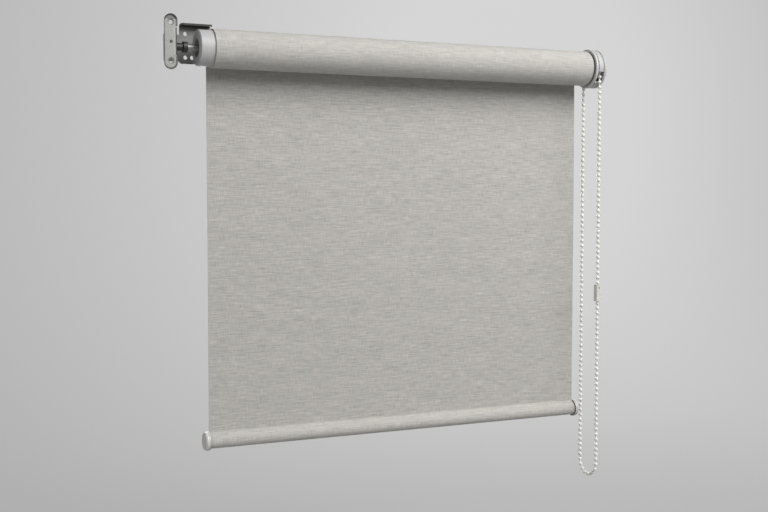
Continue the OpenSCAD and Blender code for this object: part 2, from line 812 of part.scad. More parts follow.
// Joining clip: a sleeve over three beads, with a slot and a window at the back and a peep hole in front
module chain_clip() {
    color("white") translate([chain_x, axis_y - pitch_r, clip_z]) difference() {
        translate([0, 0, -clip_half_l]) linear_extrude(2 * clip_half_l) round_rect(clip_w, clip_w, clip_wall);
        translate([0, 0, -clip_room]) cylinder(h = 2 * clip_room, r = clip_bore_r);
        translate([-clip_slot / 2, -clip_slot / 2, -clip_half_l - cut_over])
            cube([clip_slot, clip_w + clip_slot / 2, 2 * (clip_half_l + cut_over)]);
        translate([-clip_bore_r, 0, -bead_pitch / 2])
            cube([2 * clip_bore_r, clip_w, bead_pitch]);
        translate([0, 0, bead_pitch]) rotate([90, 0, 0]) cylinder(h = clip_w, r = clip_peep_d / 2);
    }
}

idle_bracket();
idle_bush();
idle_pin();
pin_spring();
spring_seat();
idle_plug();
roller_tube();
fabric_roll();
fabric_drop();
hem_pocket();
hem_bar();
hem_cap_left();
hem_cap_right();
drive_plug();
chain_wheel();
clutch_hub();
brake_spring_inner();
brake_spring_outer();
hub_clip();
guard_flange();
chain_housing();
hub_screw();
drive_bracket();
bead_chain();
chain_clip();
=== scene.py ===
# %% [markdown]
# # A roller blind, dressed for its picture
# The blind is a cloth on a tube. A sprung pin holds the tube on the left, a bead-chain clutch turns it on
# the right, and a covered bar weights the hem. The rigid model comes in as a fixed frame, in metres. This
# lesson gives it cloth, chain and finishes, and never moves or reshapes the parts that come with the frame.

# %% Load the frame
import bmesh
import bpy
import json
import math
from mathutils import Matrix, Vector


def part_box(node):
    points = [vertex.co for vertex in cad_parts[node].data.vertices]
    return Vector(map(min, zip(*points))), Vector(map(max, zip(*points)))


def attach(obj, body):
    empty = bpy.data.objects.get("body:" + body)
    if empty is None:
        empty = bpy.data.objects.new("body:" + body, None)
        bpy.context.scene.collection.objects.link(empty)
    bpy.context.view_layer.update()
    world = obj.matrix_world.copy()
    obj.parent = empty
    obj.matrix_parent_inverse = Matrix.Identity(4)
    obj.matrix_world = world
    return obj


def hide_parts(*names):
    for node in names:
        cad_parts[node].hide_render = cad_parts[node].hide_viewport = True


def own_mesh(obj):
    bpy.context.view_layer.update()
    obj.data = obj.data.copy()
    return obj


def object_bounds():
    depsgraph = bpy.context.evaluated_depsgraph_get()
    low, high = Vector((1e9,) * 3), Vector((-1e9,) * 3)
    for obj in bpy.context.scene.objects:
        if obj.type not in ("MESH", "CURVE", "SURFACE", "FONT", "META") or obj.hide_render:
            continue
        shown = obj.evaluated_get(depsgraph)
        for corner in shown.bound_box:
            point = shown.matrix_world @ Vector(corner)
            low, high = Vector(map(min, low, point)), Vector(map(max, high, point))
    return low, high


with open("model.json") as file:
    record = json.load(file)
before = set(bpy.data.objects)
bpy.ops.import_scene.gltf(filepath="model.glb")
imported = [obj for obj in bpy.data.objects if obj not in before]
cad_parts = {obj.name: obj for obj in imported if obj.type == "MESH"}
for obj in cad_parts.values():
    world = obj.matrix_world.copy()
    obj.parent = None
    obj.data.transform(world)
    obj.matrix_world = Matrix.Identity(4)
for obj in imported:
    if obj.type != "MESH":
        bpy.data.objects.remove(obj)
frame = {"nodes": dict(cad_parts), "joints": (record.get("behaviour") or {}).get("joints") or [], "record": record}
cad_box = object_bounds()
MM = 0.001
scene = bpy.context.scene
joints = {joint["name"]: joint for joint in frame["joints"]}
slots = {part["node"]: part["material_slot"] for part in frame["record"]["subparts"]}
bodies = frame["record"]["behaviour"]["bodies"]
body_of_node = {node: body for body, nodes in bodies.items() for node in nodes}
AXIS = Vector(joints["roller_turn"]["pos_m"])
print("frame:", len(frame["nodes"]), "parts, roller axis at", tuple(round(v, 4) for v in AXIS))

# %% [markdown]
# The camera comes first, because every later choice is judged through it. It stands to the left of the
# blind and lower than the roll, so the left end shows its pin and the roll is seen from below. The place
# and the lens were fitted to the straight edges of the cloth, the roll and the hem bar.

# %% Camera
LENS = 53.36
SENSOR = 36
CAMERA_AT = (-0.54546, -1.15798, -0.15144)
TURN_RIGHT, TILT_DOWN = math.radians(24.62), math.radians(3.138)

camera = bpy.data.objects.new("camera", bpy.data.cameras.new("camera"))
camera.data.lens = LENS
camera.data.sensor_width = SENSOR
camera.location = CAMERA_AT
camera.rotation_euler = (math.pi / 2 - TILT_DOWN, 0, -TURN_RIGHT)
scene.collection.objects.link(camera)
scene.camera = camera
scene.view_settings.view_transform = "Standard"
print("camera:", LENS, "mm lens at", CAMERA_AT)

# %% [markdown]
# A finish is a small program, and it reads best when it is written as one. A `Tone` is a number that varies
# over the surface. Python sums, products and comparisons of tones become Math nodes, one for each sign.

# %% Tones
class Tone:
    """A socket that takes part in Python sums."""

    def __init__(self, finish, socket):
        self.finish = finish
        self.socket = socket

    def math(self, operation, first, *others):
        return self.finish.node("ShaderNodeMath", {"operation": operation}, dict(enumerate((first, *others))))

    def __add__(self, other):
        return self.math("ADD", self, other)

    def __radd__(self, other):
        return self.math("ADD", other, self)

    def __sub__(self, other):
        return self.math("SUBTRACT", self, other)

    def __rsub__(self, other):
        return self.math("SUBTRACT", other, self)

    def __mul__(self, other):
        return self.math("MULTIPLY", self, other)

    def __rmul__(self, other):
        return self.math("MULTIPLY", other, self)

    def __gt__(self, other):
        return self.math("GREATER_THAN", self, other)

    def __lt__(self, other):
        return self.math("LESS_THAN", self, other)

    def __pow__(self, other):
        return self.math("POWER", self, other)

    def __abs__(self):
        return self.math("ABSOLUTE", self)

    def sine(self):
        return self.math("SINE", self)


def between(tone, low, high):
    """A tone that goes from low to high while the given one goes from 0 to 1."""
    return low + (high - low) * tone


def ridges(along, width):
    """Soft ridges from 0 to 1, one for each width along a line."""
    return 0.5 + 0.5 * ((math.tau / width) * along).sine()


def reach(first, second):
    """How far a point is from an axis, given its two offsets."""
    return (abs(first) ** 2.0 + abs(second) ** 2.0) ** 0.5


print("tones: ready")

# %% [markdown]
# A `Finish` is one material. Its `node` method adds any node and gives back one of its outputs, and a few
# short methods add the nodes that come up again and again. Colours are blended with Mix nodes, because a
# Math node would turn them grey. A Mix node has sockets for several kinds of data, so the places of those
# for colour are named.

# %% Finishes
MIX_SHARE, MIX_FIRST, MIX_SECOND, MIX_RESULT = 0, 6, 7, 2


class Finish:
    """A material with one main shader."""

    def __init__(self, name, **sockets):
        self.material = bpy.data.materials.new(name)
        self.material.use_nodes = True
        self.tree = self.material.node_tree
        self.shader = self.tree.nodes["Principled BSDF"]
        self.set(**sockets)

    def plug(self, socket, value):
        if isinstance(value, Tone):
            self.tree.links.new(value.socket, socket)
        else:
            socket.default_value = value

    def set(self, **sockets):
        for name, value in sockets.items():
            self.plug(self.shader.inputs[name.replace("_", " ").title().replace("Ior", "IOR")], value)

    def node(self, kind, settings=None, sockets=None, output=0):
        made = self.tree.nodes.new(kind)
        for name, value in (settings or {}).items():
            setattr(made, name, value)
        for key, value in (sockets or {}).items():
            self.plug(made.inputs[key], value)
        return Tone(self, made.outputs[output])

    def mix(self, share, first, second):
        sockets = {MIX_SHARE: share, MIX_FIRST: first, MIX_SECOND: second}
        return self.node("ShaderNodeMix", {"data_type": "RGBA"}, sockets, MIX_RESULT)

    def place(self, uv=None):
        if uv:
            return self.node("ShaderNodeUVMap", {"uv_map": uv})
        return self.node("ShaderNodeTexCoord", output="Object")

    def split(self, where):
        """The x, y and z of a place."""
        parts = self.node("ShaderNodeSeparateXYZ", None, {0: where}).socket.node.outputs
        return [Tone(self, part) for part in parts]

    def noise(self, where, cells, detail=2.0):
        """Noise with so many cells to a metre in x, y and z."""
        scaled = self.node("ShaderNodeMapping", None, {"Vector": where, "Scale": cells})
        return self.node("ShaderNodeTexNoise", None, {"Vector": scaled, "Scale": 1.0, "Detail": detail})

    def ramp(self, value, start, end):
        return self.node("ShaderNodeMapRange", None, {"Value": value, "From Min": start, "From Max": end})

    def bump(self, height, depth):
        return self.node("ShaderNodeBump", None, {"Strength": 1.0, "Distance": depth, "Height": height})


def colour(red, green, blue):
    return (red, green, blue, 1.0)


def even(cells):
    """The same number of cells each way."""
    return (cells, cells, cells)


print("finishes: ready")

# %% [markdown]
# The chain is moulded in an ivory plastic. It is never one even colour: the beads are cast a few at a time
# and pick up a little dirt. A slow noise along the chain shifts the colour a little, and a fine one breaks
# up the gloss. The clip that joins the ends is a separate moulding and a shade darker.

# %% Chain plastic
CAST_CELLS, FINE_CELLS = 160, 2500


def chain_plastic(name, dark, light):
    finish = Finish(name, specular_ior_level=0.5)
    where = finish.place()
    cast = finish.noise(where, even(CAST_CELLS))
    fine = finish.noise(where, even(FINE_CELLS))
    finish.set(
        base_color=finish.mix(cast, dark, light),
        roughness=between(fine, 0.24, 0.40),
        normal=finish.bump(fine, depth=0.02 * MM),
    )
    return finish.material


ivory = chain_plastic("bead_plastic", dark=colour(0.70, 0.69, 0.66), light=colour(0.84, 0.83, 0.80))
clip_ivory = chain_plastic("clip_plastic", dark=colour(0.56, 0.55, 0.52), light=colour(0.70, 0.69, 0.66))
print("finish:", ivory.name, clip_ivory.name)

# %% [markdown]
# The endless chain is the cord of this blind: 172 beads on a thin string, over the wheel at the top and
# hanging free below. Its route is two straight sides joined by two half circles. Geometry Nodes suits it
# well, because one bead repeats along one curve. The curve keeps its first point at the top of the wheel, so
# that the beads drop into the wheel's pockets.

# %% Route of the chain
PITCH_R = 16.327 * MM
STRAND = 464.85 * MM
BEADS = 172
CHAIN_X = 238.7 * MM
ARC_STEPS = 16


def chain_route():
    """Points from the top of the wheel down the room side, round the bottom and up again."""
    quarter = [math.pi / 2 * i / ARC_STEPS for i in range(ARC_STEPS)]
    down = [STRAND * i / ARC_STEPS for i in range(ARC_STEPS)]
    half = [math.pi * i / (2 * ARC_STEPS) for i in range(2 * ARC_STEPS)]
    route = [(-PITCH_R * math.sin(a), PITCH_R * math.cos(a)) for a in quarter]
    route += [(-PITCH_R, -d) for d in down]
    route += [(-PITCH_R * math.cos(a), -STRAND - PITCH_R * math.sin(a)) for a in half]
    route += [(PITCH_R, d - STRAND) for d in down]
    route += [(PITCH_R * math.cos(a), PITCH_R * math.sin(a)) for a in quarter]
    return [Vector((CHAIN_X, AXIS.y + y, AXIS.z + z)) for y, z in route]


route = chain_route()

# %% [markdown]
# A tree of Geometry Nodes is built by hand here, node by node. Two helpers keep that short: one starts a tree
# with named inputs, and one adds a node and fills in its sockets.

# %% Helpers for a tree
def node_group(name, inputs):
    tree = bpy.data.node_groups.new(name, "GeometryNodeTree")
    tree.interface.new_socket("Geometry", in_out="INPUT", socket_type="NodeSocketGeometry")
    sockets = {}
    for label, kind in inputs.items():
        sockets[label] = tree.interface.new_socket(label, in_out="INPUT", socket_type=kind).identifier
    tree.interface.new_socket("Geometry", in_out="OUTPUT", socket_type="NodeSocketGeometry")
    return tree, sockets


def add(tree, kind, settings=None, **links):
    """One node; links are its inputs by name, given as a value or as another node's output."""
    made = tree.nodes.new(kind)
    for name, value in (settings or {}).items():
        setattr(made, name, value)
    for name, value in links.items():
        socket = made.inputs[name.replace("_", " ")]
        if isinstance(value, bpy.types.NodeSocket):
            tree.links.new(value, socket)
        else:
            socket.default_value = value
    return made


print("tree helpers: ready")

# %% [markdown]
# The tree has named inputs for the bead and the string. It sweeps a small circle along the curve for the
# string, puts a bead at each of the even steps with its poles along the curve, joins the two and makes them
# real, because a library wants plain meshes and not instances.

# %% Tree that strings beads on a curve
STRING_SIDES = 8
BEAD_SEGMENTS, BEAD_RINGS = 12, 7


def bead_tree():
    tree, sockets = node_group("beads_on_a_string", {
        "Beads": "NodeSocketInt", "Bead Radius": "NodeSocketFloat", "String Radius": "NodeSocketFloat",
        "Finish": "NodeSocketMaterial",
    })
    given = tree.nodes.new("NodeGroupInput").outputs
    ring = add(tree, "GeometryNodeCurvePrimitiveCircle",
               Resolution=STRING_SIDES, Radius=given["String Radius"])
    string = add(tree, "GeometryNodeCurveToMesh",
                 Curve=given["Geometry"], Profile_Curve=ring.outputs["Curve"])
    steps = add(tree, "GeometryNodeResampleCurve", {"mode": "COUNT"},
                Curve=given["Geometry"], Count=given["Beads"])
    tangent = add(tree, "GeometryNodeInputTangent")
    along = add(tree, "FunctionNodeAlignRotationToVector", {"axis": "Z"}, Vector=tangent.outputs["Tangent"])
    bead = add(tree, "GeometryNodeMeshUVSphere",
               Segments=BEAD_SEGMENTS, Rings=BEAD_RINGS, Radius=given["Bead Radius"])
    beads = add(tree, "GeometryNodeInstanceOnPoints", Points=steps.outputs["Curve"],
                Instance=bead.outputs["Mesh"], Rotation=along.outputs["Rotation"])
    join = add(tree, "GeometryNodeJoinGeometry")
    for made in (string.outputs["Mesh"], beads.outputs["Instances"]):
        tree.links.new(made, join.inputs["Geometry"])
    real = add(tree, "GeometryNodeRealizeInstances", Geometry=join.outputs["Geometry"])
    smooth = add(tree, "GeometryNodeSetShadeSmooth", Geometry=real.outputs["Geometry"])
    dressed = add(tree, "GeometryNodeSetMaterial", Geometry=smooth.outputs["Geometry"],
                  Material=given["Finish"])
    out = tree.nodes.new("NodeGroupOutput")
    tree.links.new(dressed.outputs["Geometry"], out.inputs["Geometry"])
    return tree, sockets


string_of_beads, bead_sockets = bead_tree()
print("tree:", string_of_beads.name, "with", len(bead_sockets), "inputs")

# %% [markdown]
# The modifier's inputs are set by their identifiers before the object is first evaluated. The evaluated
# result is then copied to a plain mesh, and the curve that carried the modifier is removed.

# %% Bead chain
BEAD_R = 2.25 * MM
STRING_R = 0.7 * MM


def plain_mesh(source, name):
    """A mesh object with the evaluated shape of source, which is removed."""
    bpy.context.view_layer.update()
    graph = bpy.context.evaluated_depsgraph_get()
    mesh = bpy.data.meshes.new_from_object(source.evaluated_get(graph), depsgraph=graph)
    mesh.name = name
    bpy.data.objects.remove(source)
    made = bpy.data.objects.new(name, mesh)
    scene.collection.objects.link(made)
    return made


def closed_curve(name, points):
    curve = bpy.data.curves.new(name, "CURVE")
    curve.dimensions = "3D"
    spline = curve.splines.new("POLY")
    spline.points.add(len(points) - 1)
    for point, place in zip(spline.points, points):
        point.co = (*place, 1.0)
    spline.use_cyclic_u = True
    made = bpy.data.objects.new(name, curve)
    scene.collection.objects.link(made)
    return made


carrier = closed_curve("chain_carrier", route)
threader = carrier.modifiers.new("beads", "NODES")
threader.node_group = string_of_beads
bead_values = {"Beads": BEADS, "Bead Radius": BEAD_R, "String Radius": STRING_R, "Finish": ivory}
for label, value in bead_values.items():
    threader[bead_sockets[label]] = value
chain = plain_mesh(carrier, "bead_chain_loop")
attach(chain, "root")
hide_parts("bead_chain")
print("chain:", len(chain.data.polygons), "faces,", BEADS, "beads")

# %% [markdown]
# Rigid parts keep the shape of the frame's solids. A real edge is never knife sharp, though, and the thin
# bright line that a rounded edge catches is what makes a part look solid. So each visible rigid part is
# copied, its doubles are merged, its flat triangles become whole faces, and its sharp edges are rounded.
# Short edges close by can keep the rounding narrower than asked, and slivers that it leaves are taken out.

# %% Rounded copies of rigid parts
MERGE = 0.002 * MM
SLIVER = 0.0002 * MM
FLAT = math.radians(0.5)
SHARP = math.radians(35)
EDGE_STEPS = 2
ROUND_PROFILE = 0.5


def rounded(node, name, edge, finish):
    """A copy of a part with rounded edges, riding on the part's body in the part's place."""
    bm = bmesh.new()
    bm.from_mesh(frame["nodes"][node].data)
    bmesh.ops.remove_doubles(bm, verts=bm.verts, dist=MERGE)
    bmesh.ops.dissolve_limit(bm, angle_limit=FLAT, verts=bm.verts, edges=bm.edges)
    sharp = [e for e in bm.edges if len(e.link_faces) == 2 and e.calc_face_angle(0) > SHARP]
    bmesh.ops.bevel(
        bm, geom=sharp, offset=edge, segments=EDGE_STEPS, profile=ROUND_PROFILE,
        affect="EDGES", clamp_overlap=True,
    )
    bmesh.ops.dissolve_degenerate(bm, dist=SLIVER, edges=bm.edges)
    mesh = bpy.data.meshes.new(name)
    bm.to_mesh(mesh)
    bm.free()
    mesh.shade_smooth()
    mesh.materials.append(finish)
    made = bpy.data.objects.new(name, mesh)
    scene.collection.objects.link(made)
    even_shading = made.modifiers.new("even_shading", "WEIGHTED_NORMAL")
    even_shading.keep_sharp = True
    made = plain_mesh(made, name)
    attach(made, body_of_node[node])
    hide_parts(node)
    print("rounded:", name, len(made.data.polygons), "faces")
    return made


clip = rounded("chain_clip", "chain_joiner", edge=0.25 * MM, finish=clip_ivory)

# %% [markdown]
# The cloth is a linen-look weave: pale and dark yarns side by side, with thick places, called slubs, in the
# weft that read as short streaks across the blind. Its pattern must follow the cloth round the roll, so it
# reads a UV map in metres of cloth. Four stretched noises colour it: one for the yarns each way, one for the
# slubs and one for pale patches. Two sine waves raise the yarns over and under each other, and the gaps
# between them are darkened with painted shade. The finish has a value for how pale it is: the cloth on the
# tube and round the bar gets a paler copy, which is painted light.

# %% Linen weave
YARN = 0.62 * MM
WEFT_CELLS, SLUB_CELLS, WARP_CELLS, PATCH_CELLS = (95, 1250, 1), (45, 640, 1), (1150, 110, 1), (12, 60, 1)
SLUB_SHARE, WARP_SHARE, PATCH_SHARE = 0.7, 0.8, 0.2
WEFT_RISE, SLUB_RISE = 0.9, 0.5
YARN_DARK, YARN_LIGHT = (0.255, 0.246, 0.231), (0.655, 0.632, 0.594)
YARN_GAP_SHADE, YARN_GAP_SHADE_SHARE = colour(0.12, 0.115, 0.108), 0.12


def linen(name, contrast, pale):
    finish = Finish(name, specular_ior_level=0.2, sheen_weight=0.12, sheen_roughness=0.5)
    where = finish.place("cloth")
    weft = finish.noise(where, WEFT_CELLS, detail=3.0)
    slub = finish.noise(where, SLUB_CELLS, detail=1.0)
    warp = finish.noise(where, WARP_CELLS, detail=3.0)
    patch = finish.noise(where, PATCH_CELLS, detail=2.0)
    middle = (1.0 + SLUB_SHARE + WARP_SHARE + PATCH_SHARE) / 2
    tone = 0.5 + contrast * (weft + SLUB_SHARE * slub + WARP_SHARE * warp + PATCH_SHARE * patch - middle)
    across, along, _ = finish.split(where)
    over_x = ((math.pi / YARN) * across).sine()
    over_y = ((math.pi / YARN) * along).sine()
    top = over_x * over_y > 0.0
    weave = top * abs(over_x) + (1.0 - top) * abs(over_y)
    height = weave + WEFT_RISE * weft + SLUB_RISE * slub
    dark, light = (colour(*(pale * v for v in shade)) for shade in (YARN_DARK, YARN_LIGHT))
    # Painted shade darkens the gaps between the yarns in the base colour.
    finish.set(
        base_color=finish.mix(YARN_GAP_SHADE_SHARE * (1.0 - weave), finish.mix(tone, dark, light), YARN_GAP_SHADE),
        roughness=between(warp, 0.78, 0.90),
        normal=finish.bump(height, depth=0.07 * MM),
    )
    return finish.material


cloth = linen("linen_weave", contrast=0.8, pale=1.02)
# The paler copy, for the cloth on the tube and round the bar, is painted light.
painted_light_cloth = linen("linen_weave_painted_light", contrast=0.66, pale=1.10)
print("finish:", cloth.name, painted_light_cloth.name)

# %% [markdown]
# A sheet of cloth is a grid whose columns follow a line from top to bottom. The same helper makes the
# hanging part, the part on the tube and the part round the hem bar; only the line differs. The UV map counts
# metres of cloth along the line. Solidify gives the cloth its thickness.

# %% Helper for sheets of cloth
CLOTH_T = 0.4 * MM
STRAIGHT_COLUMNS = 8
drop_low, drop_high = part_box("fabric_drop")
LEFT, RIGHT = drop_low.x, drop_high.x
DROP_Y = (drop_low.y + drop_high.y) / 2


def spread(first, last, count):
    return [first + (last - first) * i / count for i in range(count + 1)]


def woven(name, columns, line, start, finish):
    """Cloth from a grid: line(x) is the list of (y, z) that the cloth follows at x."""
    bm = bmesh.new()
    uv = bm.loops.layers.uv.new("cloth")
    rows = [[bm.verts.new((x, y, z)) for y, z in line(x)] for x in columns]
    way = [start]
    for a, b in zip(rows[0], rows[0][1:]):
        way.append(way[-1] + (b.co - a.co).length)
    for i in range(len(columns) - 1):
        for j in range(len(way) - 1):
            corners = ((i, j), (i + 1, j), (i + 1, j + 1), (i, j + 1))
            face = bm.faces.new([rows[a][b] for a, b in corners])
            for loop_corner, (a, b) in zip(face.loops, corners):
                loop_corner[uv].uv = (columns[a] - LEFT, way[b])
    mesh = bpy.data.meshes.new(name)
    bm.to_mesh(mesh)
    bm.free()
    mesh.materials.append(finish)
    made = bpy.data.objects.new(name, mesh)
    scene.collection.objects.link(made)
    wall = made.modifiers.new("thickness", "SOLIDIFY")
    wall.thickness = CLOTH_T
    wall.offset = 0.0
    made = plain_mesh(made, name)
    made.data.shade_smooth()
    made.data.set_sharp_from_angle(angle=SHARP)
    print("cloth:", name, len(made.data.polygons), "faces,", round(way[-1] - way[0], 4), "m long")
    return made, way[-1]


print("cloth: from x", round(LEFT, 4), "to", round(RIGHT, 4), "m")

# %% [markdown]
# On the tube the cloth lies in a spiral, so its radius falls by a little more than one thickness for each
# turn inwards. It starts where the hanging part leaves the tube, on the wall side, and goes over the top.

# %% Cloth on the tube
TURNS = 1.25
WRAP_PITCH = 0.43 * MM
ROLL_R = 19.97 * MM
ROLL_STEPS = 150


def spiral(x):
    """The same line at every x."""
    points = []
    for turn in spread(0.0, TURNS, ROLL_STEPS):
        r = ROLL_R - CLOTH_T / 2 - WRAP_PITCH * turn
        points.append((AXIS.y + r * math.cos(math.tau * turn), AXIS.z + r * math.sin(math.tau * turn)))
    return points


roll, roll_length = woven("cloth_on_tube", spread(LEFT, RIGHT, STRAIGHT_COLUMNS), spiral, 0.0, painted_light_cloth)
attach(roll, "roller")
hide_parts("fabric_roll")

# %% [markdown]
# The hanging part is almost flat. Cloth that has been rolled up keeps a faint memory of it, so the sheet gets
# a few shallow waves, a short one and a long one, which die out at the roll and at the hem bar. When the
# blind goes up, this part gets shorter. The waves only swell to the front, because the welded edge of the
# hem's pocket lies close behind them when the blind is up.

# %% Hanging cloth
WAVE = 0.45 * MM
SHORT_WAVE, SHORT_START = 31 * MM, 1.3
LONG_WAVE, LONG_DRIFT, LONG_SHARE = 67 * MM, 5, 0.6
WAVE_TOP = 1 + LONG_SHARE
SIDE_GAP = 0.05 * MM
DROP_ROWS, DROP_COLUMNS = 80, 90
drop_length = drop_high.z - drop_low.z


def hanging(x):
    points = []
    for z in spread(drop_high.z, drop_low.z, DROP_ROWS):
        share = (drop_high.z - z) / drop_length
        fade = math.sin(math.pi * share) ** 2
        short_swing = math.sin(x / SHORT_WAVE + SHORT_START)
        long_swing = math.sin(x / LONG_WAVE + LONG_DRIFT * share)
        wave = short_swing + LONG_SHARE * long_swing
        points.append((DROP_Y + WAVE * fade * (wave - WAVE_TOP), z))
    return points


drop_columns = spread(LEFT + SIDE_GAP, RIGHT - SIDE_GAP, DROP_COLUMNS)
drop, _ = woven("cloth_drop", drop_columns, hanging, -drop_length, cloth)
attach(drop, "root")
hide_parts("fabric_drop")
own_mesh(drop)

# %% [markdown]
# Round the hem bar the cloth makes a pocket. In front it leaves the sheet in a soft hollow, passes under the
# bar, comes up behind and is welded to the back of the sheet. The line is made of arcs and a short straight,
# which meet smoothly.

# %% Cloth round the hem bar
pocket_low, pocket_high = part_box("hem_pocket")
BAR = Vector((0, DROP_Y, (pocket_low.z + pocket_high.z) / 2))
POCKET_R = (pocket_high.z - pocket_low.z) / 2 - CLOTH_T / 2
LAP_GAP = 0.03 * MM
HOLLOW_R = 2.5 * MM
LAP_TOP = 20 * MM
HOLLOW_STEPS, UNDER_STEPS, LAP_STEPS = 8, 60, 4


def pocket_line():
    side = CLOTH_T + LAP_GAP
    centre_y = side + HOLLOW_R
    centre_z = math.sqrt((POCKET_R + HOLLOW_R) ** 2 - centre_y ** 2)
    lean = math.atan2(centre_y, centre_z)
    hollow = [(centre_y - HOLLOW_R * math.cos(a), centre_z - HOLLOW_R * math.sin(a))
              for a in spread(0.0, math.pi / 2 - lean, HOLLOW_STEPS)]
    under = [(-POCKET_R * math.sin(a), POCKET_R * math.cos(a))
             for a in spread(lean, math.tau - lean, UNDER_STEPS)]
    front = [(-y, z) for y, z in hollow]
    lap = [(side, z) for z in spread(centre_z, LAP_TOP, LAP_STEPS)]
    return front + under[1:-1] + hollow[::-1] + lap[1:]


def pocket(x):
    """The same line at every x."""
    return [(BAR.y + y, BAR.z + z) for y, z in pocket_line()]


hem, _ = woven("cloth_round_bar", spread(LEFT, RIGHT, STRAIGHT_COLUMNS), pocket, 0.0, painted_light_cloth)
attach(hem, "hem")
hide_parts("hem_pocket")

# %% [markdown]
# The brackets are folded from galvanised sheet. Zinc freezes in flat crystals, so the grey changes a little
# from patch to patch and so does the gloss. Voronoi cells make the crystals and a fine noise makes the grain.
# The rim of the ear is darkened with painted shade, and so is the sheet where it lies deep and on its top
# lip. The ear is a long round, so its rim is found from the distance to a short straight line up its middle.

# %% Galvanised sheet
CRYSTALS, SHEET_GRAIN = 1100.0, 900
SHEET_DARK, SHEET_LIGHT = colour(0.26, 0.26, 0.25), colour(0.42, 0.42, 0.405)
SHEET_SHADE = colour(0.03, 0.03, 0.028)
EAR_X, EAR_Z = -268.3 * MM, -3.1 * MM
EAR_R, EAR_STRAIGHT, EAR_BACK = 6.5 * MM, 19.8 * MM, -49 * MM
RIM_START, RIM_END = EAR_R - 1.6 * MM, EAR_R - 0.4 * MM
DEEP_Y, LIP_Z = -14 * MM, 18.7 * MM
RIM_SHADE_SHARE, DEEP_SHADE_SHARE, LIP_SHADE_SHARE = 0.75, 0.40, 0.52


def galvanised():
    finish = Finish("galvanised_sheet", metallic=0.5)
    where = finish.place()
    x, y, z = finish.split(where)
    cell = finish.node("ShaderNodeTexVoronoi", None, {"Vector": where, "Scale": CRYSTALS}, "Color")
    patch, _, _ = finish.split(cell)
    grain = finish.noise(where, even(SHEET_GRAIN), detail=4.0)
    # Painted shade: the ear's rim, the sheet where it lies deep and the top lip are darkened.
    past_straight = finish.ramp(abs(z - EAR_Z) - EAR_STRAIGHT, 0.0, 1.0)
    rim = (y < EAR_BACK) * finish.ramp(reach(x - EAR_X, past_straight), RIM_START, RIM_END)
    deep = finish.ramp(y, EAR_BACK, DEEP_Y)
    painted_shade = RIM_SHADE_SHARE * rim + DEEP_SHADE_SHARE * deep + LIP_SHADE_SHARE * (z > LIP_Z)
    sheet = finish.mix(0.45 * patch + 0.55 * grain, SHEET_DARK, SHEET_LIGHT)
    finish.set(
        base_color=finish.mix(painted_shade, sheet, SHEET_SHADE),
        roughness=0.40 + 0.10 * patch + 0.14 * grain,
        normal=finish.bump(grain, depth=0.05 * MM),
    )
    return finish.material


zinc = galvanised()
rounded("idle_bracket", "bracket_left", edge=0.35 * MM, finish=zinc)
rounded("drive_bracket", "bracket_right", edge=0.35 * MM, finish=zinc)

# %% [markdown]
# The pin and the screw are turned from bar, so fine rings run round them. The bush is blackened. Rings are a
# sine wave along the roller, because these parts share the roller's axis.

# %% Turned metal
TURNED_GRAIN = (1400, 500, 500)


def turned(name, dark, light, ring, gloss):
    finish = Finish(name, metallic=0.95)
    where = finish.place()
    along, _, _ = finish.split(where)
    rings = ridges(along, ring)
    grain = finish.noise(where, TURNED_GRAIN, detail=3.0)
    finish.set(
        base_color=finish.mix(0.4 * rings + 0.6 * grain, dark, light),
        roughness=gloss + 0.12 * grain,
        normal=finish.bump(rings + grain, depth=0.01 * MM),
    )
    return finish.material


bright = turned(
    "turned_steel", dark=colour(0.30, 0.30, 0.29), light=colour(0.52, 0.52, 0.50), ring=0.35 * MM, gloss=0.46)
black = turned(
    "blackened_steel", dark=colour(0.04, 0.04, 0.037), light=colour(0.11, 0.11, 0.104),
    ring=0.30 * MM, gloss=0.48)
rounded("idle_pin", "pin_left", edge=0.25 * MM, finish=bright)
rounded("idle_bush", "bush_left", edge=0.25 * MM, finish=black)
rounded("hub_screw", "hub_bolt", edge=0.2 * MM, finish=bright)

# %% [markdown]
# The spring behind the pin rides on the pin, while its far end stays on its seat, so it gets shorter as the
# pin is pushed in. Here it gets its rounded copy and the turned finish.

# %% Spring behind the pin
coil = rounded("pin_spring", "pin_coil", edge=0.1 * MM, finish=bright)
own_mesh(coil)

# %% [markdown]
# The plug, the clutch and the hem caps are moulded plastic. A mould leaves a faint texture all over, and the
# gloss is a little uneven where the plastic cooled. The plug also shows fine rings from the tool that cut
# its mould. The flange and the caps get a dark ring of painted shadow where the edge of the cloth meets
# them: inside a radius round their axis, and no deeper than a little way from the cloth.

# %% Moulded plastic
FLOW_CELLS, MOULD_GRAIN = 60, 1800
RING_SHADE, RING_SHADE_SHARE = colour(0.05, 0.05, 0.048), 0.8
RING_SHADE_FADE = 0.5 * MM
MIDDLE, HALF = (LEFT + RIGHT) / 2, (RIGHT - LEFT) / 2


